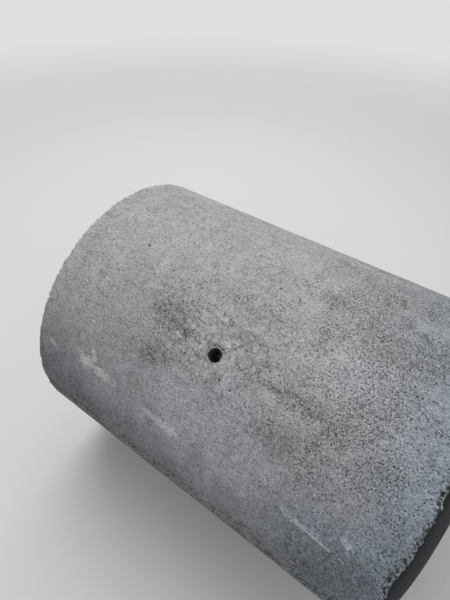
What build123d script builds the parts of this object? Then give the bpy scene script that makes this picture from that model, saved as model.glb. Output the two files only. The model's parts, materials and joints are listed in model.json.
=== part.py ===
from build123d import *
import os

# Concrete culvert pipe with a tongue-and-groove joint, cast in one piece and stored on its side.
# X runs along the pipe from the groove end to the tongue end, Z is up.
# The origin is on the ground under the middle of the overall length.

# Barrel
bore_diameter = 800.0
wall_thickness = 80.0
overall_length = 1200.0

# Tongue, and the groove that takes the next pipe's tongue
shoulder_width = 34.0
tongue_length = 32.0
tongue_land = 20.0
joint_draft = 3.0
joint_clearance = 3.0
pointing_gap = 6.0

# Edges as they leave the mould
outer_chamfer = 5.0
bore_chamfer = 5.0
mouth_chamfer = 4.0
nose_radius = 6.0
root_radius = 4.0

# Lifting hole near mid-length, leaning from the top of the pipe towards -Y
lifting_hole_diameter = 36.0
lifting_hole_offset = -10.0
lifting_hole_lean = 37.5
lifting_hole_rim = 4.0
cut_overrun = 20.0

# Radii
bore_radius = bore_diameter / 2
outer_radius = bore_radius + wall_thickness
tongue_radius = outer_radius - shoulder_width
groove_radius = tongue_radius + joint_clearance
lifting_hole_radius = lifting_hole_diameter / 2

# Stations along the pipe
groove_face = -overall_length / 2
groove_seat = groove_face + tongue_length - pointing_gap
groove_land_end = groove_face + tongue_land - pointing_gap
tongue_nose = overall_length / 2
tongue_shoulder = tongue_nose - tongue_length
tongue_land_end = tongue_shoulder + tongue_land


def wall_section():
    """Cut through the wall: X is along the pipe, Y is the distance from its axis."""
    outline = Polyline(
        (groove_seat, bore_radius),
        (groove_seat, groove_radius - joint_draft),
        (groove_land_end, groove_radius),
        (groove_face, groove_radius),
        (groove_face, outer_radius),
        (tongue_shoulder, outer_radius),
        (tongue_shoulder, tongue_radius),
        (tongue_land_end, tongue_radius),
        (tongue_nose, tongue_radius - joint_draft),
        (tongue_nose, bore_radius),
        close=True,
    )
    section = make_face(outline)

    def corners(*places):
        return [section.vertices().sort_by_distance((along, out, 0))[0] for along, out in places]

    outer_edges = corners((groove_face, outer_radius), (tongue_shoulder, outer_radius))
    section = chamfer(outer_edges, outer_chamfer)
    bore_edges = corners((groove_seat, bore_radius), (tongue_nose, bore_radius))
    section = chamfer(bore_edges, bore_chamfer)
    mouth = corners((groove_face, groove_radius))
    section = chamfer(mouth, mouth_chamfer)
    nose = corners((tongue_nose, tongue_radius - joint_draft))
    section = fillet(nose, nose_radius)
    groove_root = (groove_seat, groove_radius - joint_draft)
    tongue_root = (tongue_shoulder, tongue_radius)
    section = fillet(corners(groove_root, tongue_root), root_radius)
    return section


def lifting_hole():
    """Radial hole through the wall, flared at the outer face where the plug was drawn."""
    bottom = bore_radius - cut_overrun
    flare_bottom = outer_radius - lifting_hole_rim
    flare_height = lifting_hole_rim + cut_overrun
    shaft = Cylinder(
        lifting_hole_radius,
        wall_thickness + 2 * cut_overrun,
        align=(Align.CENTER, Align.CENTER, Align.MIN),
    )
    flare = Cone(
        lifting_hole_radius,
        lifting_hole_radius + flare_height,
        flare_height,
        align=(Align.CENTER, Align.CENTER, Align.MIN),
    )
    upright = Pos(0, 0, bottom) * shaft + Pos(0, 0, flare_bottom) * flare
    return Pos(lifting_hole_offset, 0, 0) * Rot(lifting_hole_lean, 0, 0) * upright


def culvert_pipe():
    """The whole casting, lying on its side with its lowest line on Z = 0."""
    ring = revolve(wall_section(), Axis.X)
    casting = ring - lifting_hole()
    return Pos(0, 0, outer_radius) * casting


os.makedirs("parts", exist_ok=True)
export_step(culvert_pipe(), "parts/pipe.step")
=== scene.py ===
import json
import math
import bmesh
import bpy
import numpy as np
from mathutils import Matrix, Vector, noise


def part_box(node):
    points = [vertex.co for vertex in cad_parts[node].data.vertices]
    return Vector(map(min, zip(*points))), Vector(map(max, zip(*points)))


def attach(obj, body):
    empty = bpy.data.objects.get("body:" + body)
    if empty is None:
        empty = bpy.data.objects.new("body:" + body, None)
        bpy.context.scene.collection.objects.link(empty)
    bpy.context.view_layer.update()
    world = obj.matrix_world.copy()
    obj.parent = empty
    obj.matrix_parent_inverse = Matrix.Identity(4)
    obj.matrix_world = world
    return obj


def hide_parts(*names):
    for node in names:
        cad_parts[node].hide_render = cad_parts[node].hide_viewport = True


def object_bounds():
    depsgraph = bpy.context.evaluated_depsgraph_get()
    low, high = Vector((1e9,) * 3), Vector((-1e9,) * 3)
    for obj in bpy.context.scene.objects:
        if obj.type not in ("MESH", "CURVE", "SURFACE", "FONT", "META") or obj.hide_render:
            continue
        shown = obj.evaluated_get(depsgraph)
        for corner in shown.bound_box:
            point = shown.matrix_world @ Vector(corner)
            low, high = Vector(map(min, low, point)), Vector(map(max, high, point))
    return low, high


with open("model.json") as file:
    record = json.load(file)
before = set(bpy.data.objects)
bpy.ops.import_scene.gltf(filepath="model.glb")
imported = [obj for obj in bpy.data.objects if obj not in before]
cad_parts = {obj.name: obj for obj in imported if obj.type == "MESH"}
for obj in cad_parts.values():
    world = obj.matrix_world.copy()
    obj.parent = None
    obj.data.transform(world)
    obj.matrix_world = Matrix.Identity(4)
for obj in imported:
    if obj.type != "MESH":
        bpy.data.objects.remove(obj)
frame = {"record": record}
cad_low, cad_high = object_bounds()

# The viewpoint: a hand-held camera above the tongue half of the pipe, looking down along it
# towards the groove end. The place and the turns are those that line the two end rims, both
# silhouettes and the lifting hole up with the photograph.
camera_place = Vector((0.375, -0.812, 1.703))
camera_heading = math.radians(34.51)
camera_tilt = math.radians(90 - 44.92)
camera_roll = math.radians(1.83)
camera_lens_mm = 25.04

camera_data = bpy.data.cameras.new("viewpoint")
camera_data.sensor_width = 36
camera_data.lens = camera_lens_mm
camera_data.clip_end = 200
camera = bpy.data.objects.new("viewpoint", camera_data)
camera.matrix_world = (
    Matrix.Translation(camera_place)
    @ Matrix.Rotation(camera_heading, 4, "Z")
    @ Matrix.Rotation(camera_tilt, 4, "X")
    @ Matrix.Rotation(camera_roll, 4, "Z")
)
bpy.context.scene.collection.objects.link(camera)
bpy.context.scene.camera = camera
bpy.context.scene.view_settings.view_transform = "Standard"


# The studio: a wide pale floor under the pipe, a pale surround and soft light from above.
# The large lamp hangs behind the pipe's groove end, so the barrel darkens towards its near,
# lower side as it does under an open sky.
floor_half_width = 40.0
floor_colour = (0.68, 0.68, 0.67, 1)
floor_bounce = (0.24, 0.24, 0.24, 1)
surround_colour = (0.74, 0.74, 0.74, 1)
surround_light = 0.40
floor_fade = (2.0, 7.0)
sky_lamp = {"place": (-1.6, 1.4, 4.6), "size": 4.0, "watts": 175}
side_lamp = {"place": (2.6, -2.4, 2.2), "size": 2.4, "watts": 34}


def put(tree, kind, inputs=(), **settings):
    """Adds a node, sets its options, and links or sets the inputs given as (socket, value)."""
    made = tree.nodes.new(kind)
    for name, value in settings.items():
        setattr(made, name, value)
    for socket, value in inputs:
        if isinstance(value, bpy.types.NodeSocket):
            tree.links.new(value, made.inputs[socket])
        else:
            made.inputs[socket].default_value = value
    return made


def new_material(name):
    """A node material with no nodes in it yet."""
    material = bpy.data.materials.new(name)
    material.use_nodes = True
    material.node_tree.nodes.clear()
    return material


def hang_lamp(name, place, size, watts):
    """A square soft lamp that points at the middle of the barrel."""
    data = bpy.data.lights.new(name, "AREA")
    data.size = size
    data.energy = watts
    lamp = bpy.data.objects.new(name, data)
    target = (cad_low + cad_high) / 2
    aim = (target - Vector(place)).to_track_quat("-Z", "Y")
    lamp.matrix_world = Matrix.Translation(place) @ aim.to_matrix().to_4x4()
    bpy.context.scene.collection.objects.link(lamp)


hang_lamp("sky_lamp", **sky_lamp)
hang_lamp("side_lamp", **side_lamp)

surround = bpy.data.worlds.new("surround")
surround.use_nodes = True
surround.node_tree.nodes.clear()


def seen_directly(tree):
    """1 for rays from the camera, in gloss or through glass; 0 for rays that only light."""
    path = put(tree, "ShaderNodeLightPath")
    camera_or_gloss = put(
        tree,
        "ShaderNodeMath",
        [(0, path.outputs["Is Camera Ray"]), (1, path.outputs["Is Glossy Ray"])],
        operation="MAXIMUM",
    )
    seen = put(
        tree,
        "ShaderNodeMath",
        [(0, camera_or_gloss.outputs[0]), (1, path.outputs["Is Transmission Ray"])],
        operation="MAXIMUM",
    )
    return seen.outputs[0]


lighting = put(
    surround.node_tree,
    "ShaderNodeBackground",
    [("Color", (1, 1, 1, 1)), ("Strength", surround_light)],
)
backdrop = put(
    surround.node_tree,
    "ShaderNodeBackground",
    [("Color", surround_colour), ("Strength", 1.0)],
)
surround_mix = put(
    surround.node_tree,
    "ShaderNodeMixShader",
    [(0, seen_directly(surround.node_tree)), (1, lighting.outputs[0]), (2, backdrop.outputs[0])],
)
put(surround.node_tree, "ShaderNodeOutputWorld", [("Surface", surround_mix.outputs[0])])
bpy.context.scene.world = surround

floor_mesh = bpy.data.meshes.new("floor")
edge = floor_half_width
floor_corners = [(-edge, -edge, 0), (edge, -edge, 0), (edge, edge, 0), (-edge, edge, 0)]
floor_mesh.from_pydata(floor_corners, [], [(0, 1, 2, 3)])
floor = bpy.data.objects.new("floor", floor_mesh)
floor_material = new_material("studio_floor")
floor_tree = floor_material.node_tree
floor_seen = seen_directly(floor_tree)
floor_shown = put(
    floor_tree,
    "ShaderNodeMix",
    [(0, floor_seen), (6, floor_bounce), (7, floor_colour)],
    data_type="RGBA",
)
floor_shader = put(
    floor_tree,
    "ShaderNodeBsdfPrincipled",
    [("Base Color", floor_shown.outputs[2]), ("Roughness", 0.9), ("Specular IOR Level", 0.2)],
)
floor_far = put(
    floor_tree,
    "ShaderNodeEmission",
    [("Color", surround_colour), ("Strength", 1.0)],
)
floor_spot = put(floor_tree, "ShaderNodeTexCoord").outputs["Object"]
floor_reach = put(floor_tree, "ShaderNodeVectorMath", [(0, floor_spot)], operation="LENGTH")
fade_start, fade_end = floor_fade
floor_fading = put(
    floor_tree,
    "ShaderNodeMapRange",
    [("Value", floor_reach.outputs["Value"]), ("From Min", fade_start), ("From Max", fade_end)],
    interpolation_type="SMOOTHSTEP",
)
fading_seen = put(
    floor_tree,
    "ShaderNodeMath",
    [(0, floor_fading.outputs[0]), (1, floor_seen)],
    operation="MULTIPLY",
)
floor_mix = put(
    floor_tree,
    "ShaderNodeMixShader",
    [(0, fading_seen.outputs[0]), (1, floor_shader.outputs[0]), (2, floor_far.outputs[0])],
)
put(floor_tree, "ShaderNodeOutputMaterial", [("Surface", floor_mix.outputs[0])])
floor_mesh.materials.append(floor_material)
bpy.context.scene.collection.objects.link(floor)


# The casting: one precast pipe of dry-packed concrete, rammed into a steel mould that stood
# on its groove end. The tongue is stepped in from the barrel, and the groove into the wall at
# the other end. Sizes come from the frame; angles lean from the top of the pipe towards -Y.
mounts = {mount["name"]: mount for mount in frame["record"]["mounts"]}
pipe_low, pipe_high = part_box("pipe")
axis_height = (pipe_low.z + pipe_high.z) / 2
outer_radius = min(pipe_high.y, -pipe_low.y, pipe_high.z - axis_height)


def mount_span(name):
    """Where a mount's round wall starts and ends along the pipe, in metres, and its radius."""
    dims = mounts[name]["dims"]
    middle = mounts[name]["pos_m"][0]
    half = dims["length_mm"] / 2000
    return middle - half, middle + half, dims["r_mm"] / 1000


bore_start, bore_end, bore_radius = mount_span("waterway_bore")
groove_start, groove_land_end, groove_radius = mount_span("groove_socket")
tongue_start, tongue_land_end, tongue_radius = mount_span("tongue_spigot")
groove_face = pipe_low.x
tongue_end = pipe_high.x
mouth_chamfer = groove_start - groove_face
root_radius = mouth_chamfer
bore_chamfer = tongue_end - bore_end
outer_chamfer = bore_chamfer
groove_seat = bore_start - bore_chamfer
tongue_shoulder = tongue_start - root_radius
joint_draft = 0.003

hole_place = Vector(mounts["lifting_hole"]["pos_m"])
hole_axis = Vector(mounts["lifting_hole"]["axis"]).normalized()
hole_radius = mounts["lifting_hole"]["dims"]["r_mm"] / 1000
hole_station = hole_place.x
hole_lean = math.atan2(-hole_axis.y, hole_axis.z)
hole_tangent = Vector((0, -math.cos(hole_lean), -math.sin(hole_lean)))

# How finely each stretch of the wall is divided round the pipe
rim_columns = 960
torn_columns = 1280
barrel_columns = 480
bore_columns = 240
barrel_row_length = 0.0112
bore_row_length = 0.030
hole_block_columns = 7
hole_block_rows = 4
bore_block_columns = 4
bore_block_rows = 3
bore_block_row_length = 0.014
bore_block_half = bore_block_rows * bore_block_row_length
face_ring_step = 0.004
shoulder_rough_width = 0.021
lip_rough_width = 0.016

casting_points = []
casting_faces = []


def around_point(station, radius, lean):
    """A point of the casting from its place along the pipe, its radius and its lean."""
    return (station, -radius * math.sin(lean), axis_height + radius * math.cos(lean))


def add_loop(station, radius, columns):
    """One closed loop of points round the pipe, as (lean from the hole, point number) pairs."""
    loop = []
    for column in range(columns):
        turn = math.tau * column / columns
        loop.append((turn, len(casting_points)))
        casting_points.append(around_point(station, radius, hole_lean + turn))
    return loop


def add_face(face, flip):
    """One face of the casting, turned over where its loops run the other way."""
    casting_faces.append(face[::-1] if flip else face)


def join_loops(first, second, flip=False):
    """Skins the strip between two closed loops: quads where they match, else triangles."""
    if len(first) == len(second):
        for k in range(len(first)):
            after = (k + 1) % len(first)
            add_face((first[k][1], first[after][1], second[after][1], second[k][1]), flip)
        return
    first = first + [(first[0][0] + math.tau, first[0][1])]
    second = second + [(second[0][0] + math.tau, second[0][1])]
    i, j = 0, 0
    while i < len(first) - 1 or j < len(second) - 1:
        second_done = j == len(second) - 1
        if second_done or (i < len(first) - 1 and first[i + 1][0] <= second[j + 1][0]):
            add_face((first[i][1], first[i + 1][1], second[j][1]), flip)
            i += 1
        else:
            add_face((first[i][1], second[j + 1][1], second[j][1]), flip)
            j += 1


def spaced(start, end, step):
    """Evenly spaced places from start to end, both included, about one step apart."""
    count = max(1, round(abs(end - start) / step))
    return [start + (end - start) * k / count for k in range(count + 1)]


# The barrel's loops, from the groove end's rim to the tongue's shoulder, with the rough rims
# divided finely. The rows are set out from the lifting hole, so that one runs through it.
groove_rim_steps = (0.0, 0.003, 0.007, 0.012, 0.020)
shoulder_rim_steps = (0.031, 0.024, 0.018, 0.013, 0.009, 0.0055, 0.0025, 0.0)
barrel_start = groove_face + outer_chamfer
barrel_end = tongue_shoulder - outer_chamfer
left_rows = spaced(barrel_start + groove_rim_steps[-1] + barrel_row_length, hole_station,
                   barrel_row_length)
right_rows = spaced(hole_station, barrel_end - shoulder_rim_steps[0] - barrel_row_length,
                    barrel_row_length)
barrel_rows = left_rows + right_rows[1:]
hole_row = len(left_rows) - 1

rim_loops = [add_loop(barrel_start + step, outer_radius, rim_columns)
             for step in groove_rim_steps]
row_loops = [add_loop(station, outer_radius, barrel_columns) for station in barrel_rows]
shoulder_loops = [add_loop(barrel_end - step, outer_radius, torn_columns)
                  for step in shoulder_rim_steps]

for first, second in zip(rim_loops, rim_loops[1:] + row_loops[:1]):
    join_loops(first, second)
for first, second in zip([row_loops[-1]] + shoulder_loops, shoulder_loops):
    join_loops(first, second)


def from_hole(point):
    """How far a point lies from the lifting hole's axis: along the pipe and across it."""
    offset = Vector(point) - hole_place
    return offset.x, offset.dot(hole_tangent)


def open_block(loops, rows, columns, middle_row, flip=False):
    """Skins a grid of equal loops but for a block of cells round the hole, and gives back
    the block's border, as (direction from the hole, point number) pairs in order."""
    count = len(loops[0])
    for row in range(len(loops) - 1):
        for column in range(count):
            from_middle = (column + count // 2) % count - count // 2
            inside_rows = middle_row - rows <= row < middle_row + rows
            if inside_rows and -columns <= from_middle < columns:
                continue
            after = (column + 1) % count
            near, far = loops[row], loops[row + 1]
            add_face((near[column][1], near[after][1], far[after][1], far[column][1]), flip)
    border = [(row, -columns) for row in range(-rows, rows)]
    border += [(rows, column) for column in range(-columns, columns)]
    border += [(row, columns) for row in range(rows, -rows, -1)]
    border += [(-rows, column) for column in range(columns, -columns, -1)]
    pairs = []
    for row, column in border:
        number = loops[middle_row + row][column % count][1]
        along, across = from_hole(casting_points[number])
        pairs.append((math.atan2(across, along) % math.tau, number))
    pairs.sort()
    return pairs


def hole_point(along, across, radius):
    """The point at that distance from the hole's axis, on the wall face of that radius."""
    out = math.sqrt(radius * radius - across * across)
    foot = Vector((hole_station + along, 0, axis_height))
    return tuple(foot + hole_axis * out + hole_tangent * across)


outer_border = open_block(row_loops, hole_block_rows, hole_block_columns, hole_row)

# The lifting hole: a plug drawn out of the green concrete left a round hole with a flared,
# slightly torn edge. Its rings run from the barrel's face, down through the wall, to the bore.
hole_ring_points = 96
coarse_ring_points = 48
face_ring_sizes = (0.036, 0.032, 0.0285, 0.0258, 0.0238)
flare_rings = ((0.0221, 0.0), (0.0206, 0.0014), (0.0190, 0.0030), (0.0181, 0.0044))
shaft_depths = (0.008, 0.014, 0.022, 0.033, 0.046, 0.060, 0.072)
bore_ring_sizes = (0.0235, 0.031)
wall = outer_radius - bore_radius


def add_ring(size, depth, count=hole_ring_points):
    """One ring of the lifting hole at a depth below the barrel's face."""
    ring = []
    for k in range(count):
        turn = math.tau * k / count
        along = size * math.cos(turn)
        across = size * math.sin(turn)
        ring.append((turn, len(casting_points)))
        casting_points.append(hole_point(along, across, outer_radius - depth))
    return ring


hole_rings = [add_ring(face_ring_sizes[0], 0.0, coarse_ring_points)]
hole_rings += [add_ring(size, 0.0) for size in face_ring_sizes[1:]]
hole_rings += [add_ring(size, depth) for size, depth in flare_rings]
hole_rings += [add_ring(hole_radius, depth) for depth in shaft_depths]
hole_rings += [add_ring(size, wall) for size in (hole_radius, bore_ring_sizes[0])]
hole_rings += [add_ring(bore_ring_sizes[1], wall, coarse_ring_points)]
for first, second in zip([outer_border] + hole_rings, hole_rings):
    join_loops(first, second, flip=True)

# The bore, formed against the smooth inner core of the mould
bore_rows = spaced(bore_start, hole_station - bore_block_half, bore_row_length)
bore_rows += spaced(hole_station - bore_block_half, hole_station + bore_block_half,
                    bore_block_row_length)[1:]
bore_hole_row = len(bore_rows) - 1 - bore_block_rows
bore_rows += spaced(hole_station + bore_block_half, bore_end, bore_row_length)[1:]
bore_loops = [add_loop(station, bore_radius, bore_columns) for station in bore_rows]
bore_border = open_block(bore_loops, bore_block_rows, bore_block_columns, bore_hole_row,
                         flip=True)
join_loops(hole_rings[-1], bore_border, flip=True)

# The tongue end: the shoulder where the barrel's skin breaks off, then the smooth tongue.
# A line gives its loops as (station, radius), from the outer edge inwards.
nose_radius = 0.006
shoulder_face = [add_loop(tongue_shoulder, radius, torn_columns)
                 for radius in spaced(outer_radius - outer_chamfer,
                                      outer_radius - shoulder_rough_width, face_ring_step)]
draft_at_nose = tongue_radius - joint_draft
tongue_line = [
    (tongue_shoulder, outer_radius - 0.026),
    (tongue_shoulder, tongue_radius + root_radius),
    (tongue_shoulder + 0.3 * root_radius, tongue_radius + 0.3 * root_radius),
    (tongue_start, tongue_radius),
    ((tongue_start + tongue_land_end) / 2, tongue_radius),
    (tongue_land_end, tongue_radius),
    (tongue_end - nose_radius, draft_at_nose + 0.0015),
    (tongue_end - 0.0018, draft_at_nose - 0.0010),
    (tongue_end, draft_at_nose - 0.0055),
    (tongue_end, draft_at_nose - 0.013),
    (tongue_end, (draft_at_nose + bore_radius) / 2 - 0.002),
    (tongue_end, bore_radius + 0.012),
    (tongue_end, bore_radius + bore_chamfer),
]
tongue_loops = [add_loop(station, radius, barrel_columns) for station, radius in tongue_line]
tongue_strip = [shoulder_loops[-1]] + shoulder_face + tongue_loops + [bore_loops[-1]]
for first, second in zip(tongue_strip, tongue_strip[1:]):
    join_loops(first, second)

# The groove end: the rim and the lip's face, then the smooth groove and its seat
seat_inset = 0.018
lip_face = [add_loop(groove_face, radius, rim_columns)
            for radius in spaced(outer_radius - outer_chamfer,
                                 outer_radius - lip_rough_width, face_ring_step)]
groove_line = [
    (groove_face, outer_radius - 0.021),
    (groove_face, groove_radius + mouth_chamfer),
    (groove_start, groove_radius),
    (groove_land_end, groove_radius),
    (groove_seat - 0.006, groove_radius - 0.6 * joint_draft),
    (groove_seat - 0.3 * root_radius, groove_radius - joint_draft - 0.3 * root_radius),
    (groove_seat, groove_radius - joint_draft - root_radius),
    (groove_seat, groove_radius - seat_inset),
    (groove_seat, bore_radius + seat_inset),
    (groove_seat, bore_radius + bore_chamfer),
]
groove_loops = [add_loop(station, radius, barrel_columns) for station, radius in groove_line]
groove_strip = [rim_loops[0]] + lip_face + groove_loops + [bore_loops[0]]
for first, second in zip(groove_strip, groove_strip[1:]):
    join_loops(first, second, flip=True)

# The points inside the two opened blocks belong to no face and are dropped
casting_mesh = bpy.data.meshes.new("pipe_casting")
casting_mesh.from_pydata(casting_points, [], casting_faces)
trimmed = bmesh.new()
trimmed.from_mesh(casting_mesh)
unused = [point for point in trimmed.verts if not point.link_faces]
bmesh.ops.delete(trimmed, geom=unused, context="VERTS")
trimmed.to_mesh(casting_mesh)
trimmed.free()
casting = bpy.data.objects.new("pipe_casting", casting_mesh)
bpy.context.scene.collection.objects.link(casting)

# How the cast surface departs from the true form: waves left by the mould, a torn shoulder,
# a bumpy rim, honeycombed pockets low on both sides and a crumbled edge at the hole. All are
# cut into the concrete, but for the burrs that stand past the torn shoulder.
place = np.empty(len(casting_mesh.vertices) * 3)
casting_mesh.vertices.foreach_get("co", place)
place = place.reshape(-1, 3)
outward = np.array([vertex.normal for vertex in casting_mesh.vertices])
station = place[:, 0].copy()
rise = place[:, 2] - axis_height
radius = np.hypot(place[:, 1], rise)
lean = np.degrees(np.arctan2(-place[:, 1], rise))


def lumps(size, octaves, seed):
    """Fractal noise at every point of the casting, about -1 to 1, with lumps of that size."""
    shift = Vector((3.7, 1.9, 5.3)) * seed
    return np.array([noise.fractal(Vector(point) / size + shift, 0.8, 2.0, octaves)
                     for point in place])


def ramp(values, low, high):
    """0 below low, 1 above high and a smooth climb between; high may be the lower one."""
    share = np.clip((values - low) / (high - low), 0, 1)
    return share * share * (3 - 2 * share)


def patch(at_station, at_lean, half_length, half_width, raggedness=0.0):
    """A soft oval on the barrel: 1 at its middle, fading to 0 at its edge."""
    along = (station - at_station) / half_length
    across = np.radians(lean - at_lean) * outer_radius / half_width
    return ramp(np.hypot(along, across) + raggedness, 1.2, 0.3) * on_barrel


def patches(places):
    """Soft ovals added up, each given as (strength, station, lean, half length, half width,
    raggedness); a strength below 0 takes away."""
    return sum(strength * patch(*oval, raggedness=ragged * middling)
               for strength, *oval, ragged in places)


broad = lumps(0.28, 2, 1)
middling = lumps(0.060, 3, 2)
small = lumps(0.016, 3, 3)
fine = lumps(0.0065, 2, 4)

on_barrel = ramp(radius, outer_radius - 0.004, outer_radius - 0.001)
to_shoulder_edge = np.hypot(np.maximum(tongue_shoulder - station, 0), outer_radius - radius)
to_shoulder_edge = np.where(station > tongue_shoulder + 0.001, 1.0, to_shoulder_edge)
to_rim_edge = np.hypot(station - groove_face, outer_radius - radius)
hole_along = station - hole_station
hole_across = (place - np.array(hole_place)) @ np.array(hole_tangent)
to_hole = np.hypot(hole_along, hole_across)
near_hole_face = (to_hole < 0.16) & ((place @ np.array(hole_axis)) > 0)

# Waves of about a millimetre in the barrel, and lumpier skin round the lifting hole
formed_depth = 0.0003
skin_depth = 0.0014
broad_wave, middling_wave, small_wave = 0.0009, 0.0007, 0.0003
clump_depth, clump_wave = 0.0006, 0.0015
depth = np.full(len(place), formed_depth)
clumpy = patch(-0.010, 30, 0.230, 0.230)
depth += on_barrel * (skin_depth + broad_wave * broad + middling_wave * middling
                      + small_wave * small)
depth += clumpy * (clump_depth + clump_wave * lumps(0.030, 3, 8))

# The shoulder's outer edge is torn all round, with deeper bites here and there. The tear
# eats into the corner slantwise, along the pipe as far as towards its axis, and leaves teeth
# of mortar that stand out past the shoulder. Bites are given as (lean, half width) in degrees,
# and round whole_lean the edge is nearly whole.
crumb_depth, bite_depth, tooth_depth, burr_height = 0.0030, 0.0058, 0.0085, 0.0042
bite_places = ((34.5, 3.2), (38.5, 1.6), (45.5, 2.0), (66.0, 6.0), (86.0, 9.0))
whole_lean, whole_reach = 57.0, 6.0
tear_reach = np.clip(0.018 + 0.018 * middling + 0.008 * broad, 0.007, 0.032)
tear_reach += 0.008 * ramp(np.abs(lean), 60, 70)
tear = ramp(to_shoulder_edge / tear_reach, 1.0, 0.2)
edge_grains = ramp(to_shoulder_edge, 0.014, 0.004)
bites = ramp(lumps(0.040, 3, 5), 0.10, 0.75)
for bite_lean, bite_width in bite_places:
    bite = ramp(np.abs(lean - bite_lean + 3 * small), bite_width, 0.3 * bite_width)
    bites = np.maximum(bites, 0.8 * bite)
bites *= 1 - 0.8 * ramp(np.abs(lean - whole_lean), whole_reach, whole_reach / 3)
teeth = lumps(0.011, 3, 9)
tear_depth = tear * (crumb_depth * np.clip(small, 0, 1.2) + bite_depth * bites)
tear_depth += edge_grains * tooth_depth * np.clip(teeth - 0.05, 0, 1)
burr = edge_grains * burr_height * np.clip(0.15 - teeth, 0, 0.6)

# The rim at the groove end keeps its shape but for shallow bumps and a few small nicks. It is
# smoothest low on the near side.
nick_depth = 0.0045
smooth_lean, smooth_reach = 76.0, 24.0
least_bumps, most_bumps = 0.0034, 0.0074
rim = ramp(to_rim_edge, 0.013, 0.003)
nicks = ramp(lumps(0.030, 2, 6), 0.45, 0.9)
rim_bumps = np.clip(0.42 + 1.0 * lumps(0.015, 3, 7) + 0.4 * lumps(0.045, 2, 13), 0, 1)
rim_roughness = np.clip(0.0056 + 0.0026 * middling, least_bumps, most_bumps)
rim_roughness *= 1 - 0.65 * ramp(np.abs(lean - smooth_lean), smooth_reach, smooth_reach / 2)
depth = depth * (1 - rim)
depth += rim * (formed_depth + rim_roughness * rim_bumps + nick_depth * nicks)

# Pockets where mortar ran out between the stones, low down where the mould leaked. The larger
# ones are given as (station, lean, half length, half width).
seam_lean = 96
pocket_depth, lost_stone_depth = 0.0015, 0.0055
pocket = np.zeros(len(place))
pocket_places = (
    (-0.198, 91.5, 0.035, 0.016),
    (-0.105, 90.5, 0.060, 0.024),
    (-0.045, 90.0, 0.055, 0.022),
    (0.190, 89.0, 0.042, 0.026),
    (0.232, 87.0, 0.034, 0.024),
    (0.372, 85.0, 0.038, 0.030),
    (0.402, 83.0, 0.030, 0.028),
    (-0.310, -104, 0.060, 0.022),
    (0.280, -112, 0.050, 0.026),
)
for pocket_place in pocket_places:
    pocket = np.maximum(pocket, patch(*pocket_place, raggedness=0.5 * small + 0.3 * middling))
from_seam = np.abs(np.abs(lean) - seam_lean)
leaky_band = ramp(from_seam, 24, 6) * on_barrel
pocket = np.maximum(pocket, leaky_band * ramp(lumps(0.030, 3, 11), 0.50, 0.85))
leaky_seam = ramp(from_seam, 9, 4) * on_barrel
leaky_seam *= ramp(0.8 * middling + 0.4 * small, -0.35, 0.25)
pocket = np.maximum(pocket, 0.85 * leaky_seam)
lost_stones = ramp(0.7 * small + 0.5 * fine, -0.1, 0.5)
depth += pocket * (pocket_depth + lost_stone_depth * lost_stones)

# The hole's flared edge crumbled as the plug came out, most of all above it. The wall of its
# mouth is torn back from the hole's axis, so the edge isn't quite round.
crumble = ramp(to_hole, hole_radius + 0.016, hole_radius + 0.003) * near_hole_face * on_barrel
above_hole = ramp(hole_across, -0.004, -0.020)
depth += crumble * (0.0008 + 0.0012 * ramp(small, -0.2, 0.7) + 0.0034 * above_hole)
hole_mouth = ramp(to_hole, hole_radius + 0.016, hole_radius + 0.002) * near_hole_face
hole_mouth *= ramp(radius, outer_radius - 0.016, outer_radius - 0.003)
mouth_tear = hole_mouth * 0.0034 * np.clip(lumps(0.010, 2, 15) + 0.05, 0, 1)
mouth_tear /= np.maximum(to_hole, 0.001)

# The lip and the shoulder's face are struck off rough, the formed faces are nearly true
struck = ((np.abs(station - groove_face) < 0.001) & (radius > groove_radius + 0.003)
          | (np.abs(station - tongue_shoulder) < 0.001) & (radius > tongue_radius + 0.003))
depth += struck * (0.0008 + 0.0007 * small + 0.0004 * fine)

# The skin goes in by its depth, the hole's mouth away from the hole, and the torn edge in
# along the pipe and towards its axis
least_depth = 0.0002
depth = np.maximum(depth, least_depth)
place -= outward * depth[:, None]
place[:, 0] += mouth_tear * hole_along
place += (mouth_tear * hole_across)[:, None] * np.array(hole_tangent)
place[:, 0] += burr - tear_depth
shrink = 1 - tear_depth / radius
place[:, 1] *= shrink
place[:, 2] = axis_height + (place[:, 2] - axis_height) * shrink
casting_mesh.vertices.foreach_set("co", place.ravel())
casting_mesh.polygons.foreach_set("use_smooth", [True] * len(casting_mesh.polygons))
casting_mesh.set_sharp_from_angle(angle=math.radians(38))
casting_mesh.update()

# Where each kind of surface lies, for the concrete's colours. Broken faces show the stones,
# formed faces are smooth and dark, and the barrel's right half is peppered with air holes.
broken = np.clip(tear * (0.35 + 1.0 * bites + 0.5 * small) + 0.55 * edge_grains + 0.4 * struck
                 + 0.6 * pocket + 0.3 * leaky_seam + rim * nicks + 0.4 * crumble, 0, 1)
in_bore = ramp(radius, bore_radius + 0.004, bore_radius + 0.001)
on_joint = (1 - ramp(radius, groove_radius + 0.004, groove_radius + 0.010)) * (1 - in_bore)
on_joint *= (station < groove_seat + 0.004) | (station > tongue_shoulder - 0.004)
pale_edge = ramp(to_rim_edge, 0.022 + 0.008 * middling, 0.004) * on_barrel

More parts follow.
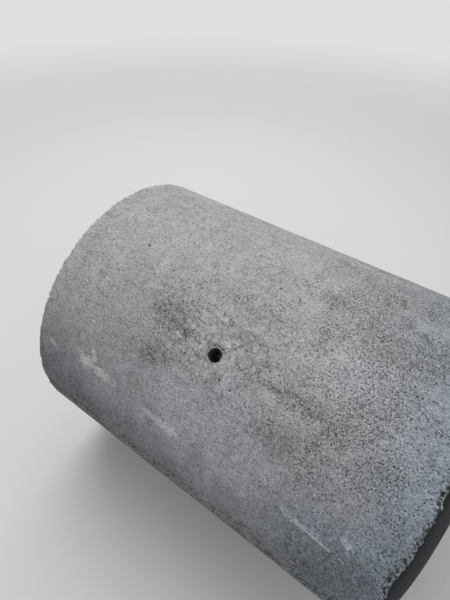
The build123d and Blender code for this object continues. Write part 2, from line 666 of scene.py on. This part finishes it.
# The peppering starts along a slanting line and covers the right half
front_leans = (-40, 17, 27, 43, 56, 75)
front_stations = (0.14, 0.07, 0.14, 0.18, 0.21, 0.28)
pepper_front = np.interp(lean, front_leans, front_stations)
pepper = ramp(station - pepper_front + 0.10 * middling + 0.10 * broad, -0.14, 0.18)
pepper *= 0.64 + 0.36 * middling + 0.20 * broad
pepper *= ramp(lean, 86, 60) * 0.6 + 0.4
pepper += patches((
    (0.30, 0.290, 37, 0.10, 0.08, 0),
    (0.15, 0.405, 30, 0.08, 0.07, 0),
    (-0.75, 0.430, -4, 0.09, 0.05, 0),
    (-0.65, 0.500, 17, 0.07, 0.06, 0),
    (-0.30, 0.420, 58, 0.14, 0.07, 0),
    (-0.25, 0.500, 36, 0.10, 0.12, 0),
    (0.50, -0.150, 36, 0.120, 0.110, 0.5),
    (0.50, 0.225, 36.8, 0.170, 0.026, 0.4),
    (0.35, 0.050, 30, 0.060, 0.016, 0.4),
))
pepper += 0.12 + 0.14 * ramp(middling, 0.1, 0.7)
pepper = np.clip(pepper, 0.03, 1) * on_barrel

# Dark stains, and a darkening that is densest towards the bottom of the barrel on both sides
stain = patches((
    (1.00, -0.165, 33, 0.100, 0.060, 0.5),
    (0.75, -0.155, 46, 0.070, 0.050, 0.5),
    (0.35, -0.372, 20, 0.070, 0.060, 0.5),
    (0.65, 0.360, 10.0, 0.120, 0.065, 0.5),
    (0.70, 0.225, 36.8, 0.160, 0.024, 0.5),
    (0.40, 0.190, 49.0, 0.110, 0.040, 0.5),
    (0.50, 0.045, 28.0, 0.060, 0.018, 0.5),
    (0.45, -0.225, 50.0, 0.080, 0.060, 0.5),
    (0.50, -0.230, 86.0, 0.330, 0.100, 0.2),
    (0.30, -0.330, 79.0, 0.260, 0.090, 0.3),
    (0.35, 0.330, 88.0, 0.330, 0.110, 0.2),
    (0.85, 0.430, 73.0, 0.180, 0.120, 0.4),
    (0.55, 0.200, 50.0, 0.090, 0.060, 0.5),
    (0.35, 0.370, 55.0, 0.120, 0.060, 0.5),
))
# Darker towards the bottom of the barrel on both sides
stain += (0.75 + 0.25 * middling) * ramp(np.abs(lean), 78, 99) * on_barrel
stain = np.clip(stain, 0, 1)

# Painted shade in the lifting hole and in the torn concrete on its upper side
hole_wall = ramp(to_hole, hole_radius + 0.0010, hole_radius)
towards_crest = -(0.15 * hole_along + 0.99 * hole_across) / np.maximum(to_hole, 0.001)
torn_above_shade = ramp(to_hole, hole_radius + 0.012, hole_radius + 0.005)
torn_above_shade *= ramp(towards_crest, 0.35, 0.75) * on_barrel
torn_above_shade *= np.clip(0.55 + 1.5 * lumps(0.008, 2, 14), 0, 1)
hole_wall = np.maximum(hole_wall, 0.85 * torn_above_shade)
hole_wall *= ((place @ np.array(hole_axis)) > 0) & (radius > bore_radius - 0.003)
# Where the tongue's side gets its painted shade
tongue_side = on_joint * (station > tongue_shoulder) * (radius > draft_at_nose - 0.004)

# Mortar wiped over the skin by hand, round the hole and in dabs near it, which are given as
# (station, lean, half length, half width)
smear = 0.55 * patch(-0.010, 36, 0.110, 0.100) * near_hole_face
smear_places = (
    (-0.083, 29.0, 0.024, 0.020),
    (-0.119, 33.0, 0.020, 0.016),
    (-0.130, 38.3, 0.022, 0.018),
    (-0.145, 42.2, 0.016, 0.018),
    (-0.038, 26.2, 0.022, 0.018),
    (-0.001, 42.7, 0.030, 0.018),
    (0.090, 31.0, 0.034, 0.020),
    (0.120, 29.0, 0.026, 0.018),
    (0.030, 36.5, 0.026, 0.030),
    (-0.026, 33.4, 0.022, 0.012),
    (0.158, 40.4, 0.034, 0.020),
    (-0.028, 26.2, 0.018, 0.014),
    (-0.097, 32.8, 0.032, 0.014),
)
for smear_place in smear_places:
    smear = np.maximum(smear, patch(*smear_place, raggedness=0.25 * small))
smear = np.maximum(smear, ramp(to_hole, hole_radius + 0.017, hole_radius + 0.009)
                   * near_hole_face)
pepper *= 1 - 0.6 * smear

# Paler violet patches, then places made paler and, below 0, others made darker
bloom = patches((
    (1.0, 0.020, 61, 0.300, 0.170, 0.3),
    (0.2, -0.500, 25, 0.120, 0.300, 0.3),
    (0.35, -0.330, 74, 0.240, 0.130, 0.3),
))
washed = patches((
    (0.25, 0.240, 15, 0.200, 0.150, 0.4),
    (0.38, 0.330, 25, 0.170, 0.150, 0.4),
    (-0.40, 0.430, 0, 0.240, 0.260, 0.3),
    (-0.80, 0.490, 82, 0.170, 0.130, 0.2),
    (-0.80, -0.480, 85, 0.240, 0.170, 0.2),
    (-0.60, -0.525, 74, 0.140, 0.150, 0.2),
    (-0.60, -0.015, 77, 0.095, 0.060, 0.3),
    (-0.35, -0.225, 74, 0.070, 0.050, 0.3),
    (0.22, -0.450, 49, 0.090, 0.060, 0.3),
))

for name, values in (
    ("broken", broken),
    ("pocket", pocket),
    ("bore_face", in_bore),
    ("joint_face", on_joint),
    ("pale_edge", pale_edge),
    ("pepper", pepper),
    ("stain", stain),
    ("smear", smear),
    ("clumpy", clumpy),
    ("bloom", bloom),
    ("hole_wall", hole_wall),
    ("tongue_side", tongue_side),
    ("washed", washed),
):
    attribute = casting_mesh.attributes.new(name, "FLOAT", "POINT")
    attribute.data.foreach_set("value", values.astype(np.float32))

# The concrete: grey cement paste over sand and fine gravel, a little violet where it is dry and
# cooler towards the tongue, in part painted blue skylight, with air holes, stains, lime and
# scrape marks on the barrel.
paste_colour = (0.365, 0.362, 0.371, 1)
cool_paste_and_sky_colour = (0.266, 0.316, 0.374, 1)
pale_violet_colour = (0.456, 0.446, 0.508, 1)
formed_colour = (0.205, 0.210, 0.210, 1)
# Painted shade: the tongue's side is laid near black
tongue_shade_colour = (0.038, 0.042, 0.043, 1)
bore_colour = (0.330, 0.320, 0.295, 1)
broken_paste_colour = (0.400, 0.397, 0.395, 1)
cool_broken_and_sky_colour = (0.310, 0.345, 0.385, 1)
# For the stains and for the darkening low on the barrel
stain_and_darkening_colour = (0.180, 0.178, 0.178, 1)
smear_colour = (0.430, 0.422, 0.422, 1)
lime_colour = (0.640, 0.655, 0.675, 1)
scrape_colour = (0.520, 0.558, 0.612, 1)
soil_colour = (0.120, 0.092, 0.068, 1)
silt_colour = (0.200, 0.180, 0.155, 1)
pale_stone_colour = (0.500, 0.490, 0.470, 1)
dark_stone_colour = (0.150, 0.152, 0.158, 1)
stone_size = 0.0075
# Painted shade for the bore's bottom, seen through the lifting hole
shade_pool_colour = (0.040, 0.036, 0.031, 1)
# Painted shade inside the lifting hole and in the torn rim above it
hole_shade_colour = (0.013, 0.013, 0.013, 1)
pit_shade = 0.10

concrete = new_material("weathered_concrete")
tree = concrete.node_tree
spot = put(tree, "ShaderNodeTexCoord").outputs["Object"]


def maths(operation, first, second=0.0):
    """A sum on one or two numbers that vary over the surface."""
    return put(tree, "ShaderNodeMath", [(0, first), (1, second)], operation=operation).outputs[0]


def vectors(operation, *inputs):
    """A sum on places or directions; a length or a dot product comes out as one number."""
    made = put(tree, "ShaderNodeVectorMath", enumerate(inputs), operation=operation)
    return made.outputs["Value" if operation in ("LENGTH", "DOT_PRODUCT") else "Vector"]


def total(*terms):
    """Several varying numbers added up."""
    result = terms[0]
    for term in terms[1:]:
        result = maths("ADD", result, term)
    return result


def times(*factors):
    """Several varying numbers multiplied together."""
    result = factors[0]
    for factor in factors[1:]:
        result = maths("MULTIPLY", result, factor)
    return result


def spread(value, low, high, to_low=0.0, to_high=1.0):
    """Stretches the part of a value from low to high, smoothly, and holds it outside."""
    made = put(
        tree,
        "ShaderNodeMapRange",
        [("Value", value), ("From Min", low), ("From Max", high), ("To Min", to_low),
         ("To Max", to_high)],
        interpolation_type="SMOOTHSTEP",
    )
    return made.outputs["Result"]


def cloud(size, detail=2.0, at=None):
    """Cloudy noise, 0 to 1 and about 0.5 in the mean, with clouds of that size in metres."""
    made = put(
        tree,
        "ShaderNodeTexNoise",
        [("Vector", at or spot), ("Scale", 1 / size), ("Detail", detail), ("Roughness", 0.55)],
    )
    return made.outputs["Fac"]


def sway(noise_value, amount):
    """Cloudy noise turned into a gain or loss of up to that amount."""
    return spread(noise_value, 0.32, 0.68, -amount, amount)


def lay(colour, over, share):
    """Lays one colour over another where the share says."""
    made = put(tree, "ShaderNodeMix", [(0, share), (6, over), (7, colour)], data_type="RGBA")
    return made.outputs[2]


def shade(colour, factor):
    """Makes a colour darker or paler by a factor that varies over the surface."""
    made = put(
        tree,
        "ShaderNodeMix",
        [(0, factor), (6, (0, 0, 0, 1)), (7, colour)],
        data_type="RGBA",
        clamp_factor=False,
    )
    return made.outputs[2]


def marked(name):
    """One of the masks kept on the casting's points."""
    return put(tree, "ShaderNodeAttribute", attribute_name=name).outputs["Fac"]


# A place shifted a little at random, so that holes and stones come out uneven
wobble_size = 0.0030
wobble_span = 0.0036
wobble = put(
    tree,
    "ShaderNodeTexNoise",
    [("Vector", spot), ("Scale", 1 / wobble_size), ("Detail", 1.0)],
).outputs["Color"]
nudge = vectors("SUBTRACT", wobble, (0.5, 0.5, 0.5))
uneven_spot = vectors("MULTIPLY_ADD", nudge, (wobble_span, wobble_span, wobble_span), spot)

# The same place as measured on the unrolled barrel: along the pipe, and round it from the top
axes = put(tree, "ShaderNodeSeparateXYZ", [(0, spot)])
along_pipe, height_above_floor = axes.outputs[0], axes.outputs[2]
turn_round = maths("ARCTAN2", maths("MULTIPLY", axes.outputs[1], -1.0),
                   maths("SUBTRACT", height_above_floor, axis_height))
unrolled = put(
    tree,
    "ShaderNodeCombineXYZ",
    [(0, along_pipe), (1, maths("MULTIPLY", turn_round, outer_radius))],
).outputs[0]


def air_holes(spacing, share, largest):
    """Uneven dents, one in some of the cells of that spacing; largest is in cell widths."""
    cells = put(
        tree,
        "ShaderNodeTexVoronoi",
        [("Vector", uneven_spot), ("Scale", 1 / spacing)],
    )
    dice = put(tree, "ShaderNodeSeparateColor", [(0, cells.outputs["Color"])])
    chosen = spread(maths("SUBTRACT", share, dice.outputs[0]), 0.0, 0.12)
    size = times(spread(dice.outputs[1], 0.0, 1.0, 0.40 * largest, largest), chosen)
    hole = spread(maths("SUBTRACT", size, cells.outputs["Distance"]), 0.0, 0.16)
    return times(hole, spread(dice.outputs[2], 0.0, 1.0, 0.75, 1.0))


def stretched(length, width, detail=2.0):
    """Cloudy noise in streaks of that length along the pipe and that width round it."""
    drawn_out = vectors("MULTIPLY", unrolled, (1 / length, 1 / width, 1.0))
    return cloud(1.0, detail, drawn_out)


pepper_share = marked("pepper")
broken_share = marked("broken")
pocket_share = marked("pocket")
clumpy_share = marked("clumpy")
bore_share = marked("bore_face")
formed_share = maths("MAXIMUM", bore_share, marked("joint_face"))
cast_share = maths("SUBTRACT", 1.0, formed_share)

# Air holes of several sizes: the peppering in two sizes, its dust and the few large ones
pepper_holes = air_holes(0.0047, times(pepper_share, 1.60), 0.44)
second_holes = air_holes(0.0072, times(pepper_share, 1.10), 0.34)
dust_holes = air_holes(0.0034, total(times(pepper_share, 0.5), 0.12), 0.42)
large_holes = air_holes(0.055, times(cast_share, 0.16), 0.080)
formed_holes = air_holes(0.020, times(formed_share, 0.22), 0.11)
clump_holes = air_holes(0.021, times(clumpy_share, 0.30), 0.15)
holes = maths("MAXIMUM", maths("MAXIMUM", pepper_holes, second_holes),
              maths("MAXIMUM", large_holes, maths("MAXIMUM", formed_holes, clump_holes)))

# Grains, clouds and drifts of tone, from single grains of sand to half a metre
sand = cloud(0.0013, 1.0)
grain = cloud(0.0035, 2.0)
grit = cloud(0.0075, 2.0)
blotch = cloud(0.022, 3.0)
drift = cloud(0.085, 3.0)
wide_drift = cloud(0.30, 2.0)
rain_runs = stretched(0.045, 0.45)
drawn_lines = stretched(0.30, 0.010)
flecks = air_holes(0.0095, total(times(clumpy_share, 0.10), 0.16), 0.24)
speckle_level = total(cloud(0.0032, 2.0, uneven_spot), 0.02, times(pepper_share, -0.120))
dark_speckle = spread(speckle_level, 0.385, 0.310)
pale_speckle = spread(cloud(0.0062, 2.0), 0.60, 0.74)
stain_and_low_darkening_mark = marked("stain")
coarse_speckle = times(sway(cloud(0.0095, 3.0), 0.30), stain_and_low_darkening_mark)

# Mortar wiped over the skin by hand is smoother than the rest, so its grain is faint
smear_edge = total(marked("smear"), sway(cloud(0.030, 3.0), 0.30))
smear_share = spread(smear_edge, 0.46, 0.60)
roughness_left = spread(smear_share, 0.0, 1.0, 1.0, 0.45)

skin_tone = total(
    1.0,
    sway(sand, 0.11),
    times(total(sway(grain, 0.20), sway(grit, 0.11)), roughness_left),
    sway(blotch, 0.07),
    times(sway(cloud(0.014, 2.0), 0.10), clumpy_share),
    sway(drift, 0.05),
    sway(wide_drift, 0.04),
    sway(rain_runs, 0.04),
    times(sway(drawn_lines, 0.05), spread(turn_round, 0.35, -0.10)),
    times(flecks, 0.45),
    times(pale_speckle, total(times(pepper_share, 0.40), 0.28)),
    times(dark_speckle, roughness_left, total(times(pepper_share, -0.12), -0.50)),
    times(marked("washed"), 0.25),
    coarse_speckle,
)

# The cast skin's colour, cooler towards the tongue end and low on the near side, partly the
# paste's own tint and partly painted blue skylight, with paler violet patches in places
low_side = spread(turn_round, 0.95, 1.25, 0.0, 0.17)
cool_and_sky_place = total(along_pipe, low_side, sway(wide_drift, 0.05))
low_sky_cast = spread(turn_round, 0.95, 1.35, 0.0, 0.38)
cool_and_sky_share = maths("MAXIMUM", spread(cool_and_sky_place, 0.22, 0.64), low_sky_cast)
skin_colour = lay(cool_paste_and_sky_colour, paste_colour, cool_and_sky_share)
pale_violet_share = spread(total(marked("bloom"), sway(drift, 0.18)), 0.05, 1.0, 0.0, 0.75)
skin_colour = shade(lay(pale_violet_colour, skin_colour, pale_violet_share), skin_tone)


def line_at(level, value, outer, inner):
    """A line where a value crosses a level: 1 closer than inner, 0 further off than outer."""
    return spread(maths("ABSOLUTE", maths("SUBTRACT", value, level)), outer, inner)


# Short, fine wrinkles where the skin dragged as the mould was lifted, darkened as painted shade
wrinkle = line_at(0.50, cloud(0.017, 2.0), 0.042, 0.008)
wrinkle_share = times(wrinkle, spread(cloud(0.021, 1.0), 0.50, 0.60), cast_share,
                      spread(pepper_share, 0.20, 0.50, 1.0, 0.20))
skin_colour = shade(skin_colour, total(1.0, times(wrinkle_share, -0.14)))

# Stains, the low darkening, the mortar smeared round the lifting hole and the rim's pale burr
stain_and_low_darkening_edge = total(stain_and_low_darkening_mark, sway(blotch, 0.30), sway(grit, 0.15))
stain_and_low_darkening_share = spread(stain_and_low_darkening_edge, 0.15, 0.95, 0.0, 0.50)
skin_colour = lay(shade(stain_and_darkening_colour, skin_tone), skin_colour, stain_and_low_darkening_share)
skin_colour = lay(shade(smear_colour, skin_tone), skin_colour, times(smear_share, 0.62))
rim_share = times(marked("pale_edge"), 0.60)
skin_colour = lay(shade(broken_paste_colour, skin_tone), skin_colour, rim_share)

# Painted shade in thin creases round the clumps of mortar near the lifting hole
clump_shape = cloud(0.034, 1.0, uneven_spot)
crease = line_at(0.53, clump_shape, 0.018, 0.004)
crease_shade_share = times(crease, spread(cloud(0.030, 1.0), 0.46, 0.58), clumpy_share, 0.60)
clump_top = times(spread(clump_shape, 0.54, 0.60), clumpy_share, 0.08)
clump_rise = times(spread(clump_shape, 0.50, 0.58), clumpy_share)
skin_colour = shade(skin_colour, maths("SUBTRACT", total(clump_top, 1.0), crease_shade_share))


def away_from(start, end, width, patchy):
    """How far a place is from a mark drawn between two places given as (station, lean in
    degrees): 0 in its middle, 1 at its edge, made uneven so that the edge isn't smooth."""
    first = Vector((start[0], math.radians(start[1]) * outer_radius, 0))
    last = Vector((end[0], math.radians(end[1]) * outer_radius, 0))
    run = last - first
    lengthways = run.normalized() / (run.length / 2)
    sideways = Vector((-run.y, run.x, 0)).normalized() / (width / 2)
    offset = vectors("SUBTRACT", unrolled, (first + last) / 2)
    sized = [vectors("DOT_PRODUCT", offset, side) for side in (lengthways, sideways)]
    spread_out = put(tree, "ShaderNodeCombineXYZ", enumerate(sized)).outputs[0]
    away = vectors("LENGTH", spread_out)
    return total(away, sway(grit, 0.35), sway(blotch, patchy))


def away_from_spot(at_station, at_lean, reach, patchy):
    """How far a place is from a round mark, as away_from gives it."""
    return away_from((at_station - reach, at_lean), (at_station + reach, at_lean),
                     2 * reach, patchy)


def stroke(start, end, width, patchy, solid=0.55):
    """A mark of lime, mortar, a scrape or a painted shadow with a soft, uneven edge; solid is how
    far out it lies in full, as a share of its reach."""
    return spread(away_from(start, end, width, patchy), 1.10, solid)


def strokes(*marks):
    """Several strokes as one mask, each given as stroke takes it."""
    share = stroke(*marks[0])
    for mark in marks[1:]:
        share = maths("MAXIMUM", share, stroke(*mark))
    return share


# The larger air holes that stand out one by one, as (station, lean, reach)
deep_pits = (
    (-0.370, 15.7, 0.0060),
    (-0.404, 48.2, 0.0026),
    (-0.446, 76.6, 0.0046),
    (-0.295, 24.2, 0.0024),
    (-0.200, 28.1, 0.0032),
    (-0.174, 22.8, 0.0030),
    (-0.142, 21.0, 0.0026),
    (-0.035, 18.1, 0.0026),
    (-0.086, 41.7, 0.0026),
    (0.042, 8.2, 0.0030),
    (0.031, 43.2, 0.0034),
    (0.069, 44.0, 0.0034),
    (0.112, 35.2, 0.0028),
)
pit_share = 0.0
for pit_station, pit_lean, pit_reach in deep_pits:
    pit_edge = away_from_spot(pit_station, pit_lean, pit_reach, 0.2)
    pit_share = maths("MAXIMUM", pit_share, spread(pit_edge, 1.10, 0.55))

# Clumps of mortar pressed into the skin round the hole, each with a thin crease darkened as
# painted shade, as (station, lean, reach)
pressed_clumps = (
    (-0.026, 33.2, 0.014),
    (-0.006, 44.1, 0.017),
    (0.004, 40.7, 0.012),
    (0.025, 40.2, 0.013),
    (-0.027, 26.4, 0.014),
    (-0.083, 25.3, 0.012),
    (-0.032, 18.4, 0.014),
    (-0.046, 38.9, 0.013),
    (0.099, 31.4, 0.019),
    (0.062, 36.2, 0.012),
    (-0.112, 33.6, 0.018),
)
dome_share, ring_shade_share = 0.0, 0.0
for clump_station, clump_lean, clump_reach in pressed_clumps:
    clump_edge = away_from_spot(clump_station, clump_lean, clump_reach, 0.25)
    dome_share = maths("MAXIMUM", dome_share, spread(clump_edge, 1.05, 0.55))
    ring_shade_share = maths("MAXIMUM", ring_shade_share, line_at(1.10, clump_edge, 0.16, 0.04))
ring_shade_share = times(ring_shade_share, spread(cloud(0.016, 1.0), 0.44, 0.56))
skin_colour = shade(skin_colour, total(1.0, times(dome_share, 0.10), times(ring_shade_share, -0.30)))

# A thin ridge of mortar beside the hole, with a painted shadow along its side
ridge_share = stroke((0.008, 35.4), (0.040, 30.4), 0.007, 0.3)
ridge_shadow = stroke((0.024, 33.4), (0.064, 27.6), 0.010, 0.4)
skin_colour = shade(skin_colour, total(1.0, times(ridge_share, 0.22), times(ridge_shadow, -0.28)))

# Lime that ran and dried on the near side, and pale scrapes left by handling, each as
# (start, end, width, patchiness) and how solid it is
lime_share = strokes(
    ((-0.426, 62.9), (-0.340, 65.8), 0.050, 0.40),
    ((-0.372, 65.2), (-0.258, 65.2), 0.033, 0.35),
    ((-0.368, 57.2), (-0.342, 63.4), 0.023, 0.3),
    ((-0.552, 65.2), (-0.500, 67.4), 0.020, 0.35),
    ((-0.160, 67.0), (-0.016, 68.4), 0.024, 0.25),
    ((-0.074, 67.5), (-0.014, 68.5), 0.034, 0.25),
)
lime_share = times(lime_share, spread(grain, 0.42, 0.54, 0.62, 1.0))
scrape_share = strokes(
    ((0.280, 66.4), (0.400, 68.3), 0.031, 0.35, 0.05),
    ((0.265, 66.2), (0.458, 69.7), 0.009, 0.25),
    ((0.440, 61.6), (0.466, 65.8), 0.024, 0.22, 0.10),
)
pale_spots = air_holes(0.070, spread(turn_round, 0.95, 1.15, 0.0, 0.35), 0.090)
lime_laid = maths("MAXIMUM", lime_share, times(pale_spots, 0.75))
skin_colour = lay(shade(lime_colour, skin_tone), skin_colour, lime_laid)
rubbed_tone = total(times(skin_tone, 0.6), 0.4)
skin_colour = lay(shade(scrape_colour, rubbed_tone), skin_colour, times(scrape_share, 0.95))
marks_share = maths("MAXIMUM", lime_laid, scrape_share)

# Smooth formed faces, the tongue's side laid near black as painted shade. Silt lies along the
# bottom of the bore, and a dark pool on it, seen through the lifting hole, is painted shade.
film = cloud(0.060, 4.0)
# Painted shade: the tongue's side is laid near black
joint_colour = lay(tongue_shade_colour, formed_colour, marked("tongue_side"))
formed = shade(lay(bore_colour, joint_colour, bore_share),
               total(1.0, sway(film, 0.13), sway(grain, 0.05), sway(grit, 0.04)))
# Painted shadow along the tongue's root, next to the shoulder
root_shadow = times(spread(along_pipe, tongue_shoulder + 0.016, tongue_shoulder + 0.001),
                    marked("tongue_side"), 0.60)
formed = shade(formed, maths("SUBTRACT", 1.0, root_shadow))
silt_line = total(height_above_floor, sway(film, 0.016), sway(drift, 0.012))
silt_share = times(spread(silt_line, 0.130, 0.096, 0.0, 0.80), bore_share)
formed = lay(shade(silt_colour, total(1.0, sway(grit, 0.15))), formed, silt_share)
pool_middle = (-0.25, 0.06, 0.08)
pool_reach = (0.34, 0.22, 0.14)
pool_sized = vectors("DIVIDE", vectors("SUBTRACT", spot, pool_middle), pool_reach)
pool_edge = total(vectors("LENGTH", pool_sized), sway(film, 0.14), sway(drift, 0.08))
shade_pool_share = times(spread(pool_edge, 1.25, 0.65, 0.0, 0.94), bore_share)
formed = lay(shade_pool_colour, formed, shade_pool_share)
surface_colour = lay(formed, skin_colour, formed_share)

# Broken faces: sand and fine gravel of mixed greys in pale torn mortar, with hollows darkened as
# painted shade
stones = put(
    tree,
    "ShaderNodeTexVoronoi",
    [("Vector", uneven_spot), ("Scale", 1 / stone_size)],
)
stone_dice = put(tree, "ShaderNodeSeparateColor", [(0, stones.outputs["Color"])])
stone_colour = lay(pale_stone_colour, dark_stone_colour, stone_dice.outputs[0])
stone_share = times(spread(stones.outputs["Distance"], 0.50, 0.36),
                    spread(stone_dice.outputs[1], 0.35, 0.5))
# The torn faces take the same cool tint, partly the paste's own and partly painted blue skylight
torn_paste = lay(cool_broken_and_sky_colour, broken_paste_colour, cool_and_sky_share)
broken_colour = shade(lay(stone_colour, torn_paste, stone_share), skin_tone)
broken_edge = spread(total(broken_share, sway(blotch, 0.15)), 0.20, 0.55, 0.0, 0.75)
broken_edge = times(broken_edge, spread(pocket_share, 0.0, 1.0, 1.0, 0.70))
surface_colour = lay(broken_colour, surface_colour, broken_edge)
torn_hollow = spread(cloud(0.0085, 3.0), 0.52, 0.44)
hollow_shade_share = times(torn_hollow, broken_share)

# Painted shade: air holes, pits and the torn faces' hollows are darkened in colour
painted_pit_shade = maths("MAXIMUM", times(holes, 1 - pit_shade), times(dust_holes, 0.34))
painted_pit_shade = maths("MAXIMUM", painted_pit_shade, times(hollow_shade_share, 0.88))
painted_pit_shade = maths("MAXIMUM", painted_pit_shade, times(pit_share, 0.66))
surface_colour = shade(surface_colour, maths("SUBTRACT", 1.0, painted_pit_shade))

# Soil splashed on the lowest part of the barrel, and painted shade inside the lifting hole
soil_height = total(height_above_floor, sway(blotch, 0.09))
soil_share = times(spread(soil_height, 0.20, 0.02, 0.0, 0.75), cast_share)
surface_colour = lay(soil_colour, surface_colour, soil_share)
surface_colour = lay(hole_shade_colour, surface_colour, times(marked("hole_wall"), 0.92))

# The fine relief, with heights in metres: grains and swells stand up, dents go in
skin_relief = total(times(sand, 0.0005), times(grain, 0.0022), times(grit, 0.0044),
                    times(blotch, 0.0030))
relief_height = times(skin_relief, spread(formed_share, 0.0, 1.0, 1.0, 0.15))
dents = total(times(holes, 0.0018), times(dust_holes, 0.0005), times(hollow_shade_share, 0.0035),
              times(pit_share, 0.0025), times(wrinkle_share, 0.0016),
              times(crease_shade_share, 0.0012), times(ring_shade_share, 0.0010))
swells = total(times(smear_share, 0.0012), times(clump_rise, 0.0014), times(dome_share, 0.0030),
               times(ridge_share, 0.0018), times(flecks, 0.0004), times(marks_share, 0.0005))
relief_height = maths("SUBTRACT", total(relief_height, swells), dents)
relief = put(
    tree,
    "ShaderNodeBump",
    [("Height", relief_height), ("Distance", 1.0), ("Strength", 1.0)],
)
concrete_skin = put(
    tree,
    "ShaderNodeBsdfPrincipled",
    [
        ("Base Color", surface_colour),
        ("Roughness", spread(film, 0.25, 0.75, 0.80, 0.94)),
        ("Specular IOR Level", 0.35),
        ("Normal", relief.outputs[0]),
    ],
)
put(tree, "ShaderNodeOutputMaterial", [("Surface", concrete_skin.outputs[0])])
casting_mesh.materials.append(concrete)

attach(casting, "root")
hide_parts("pipe")
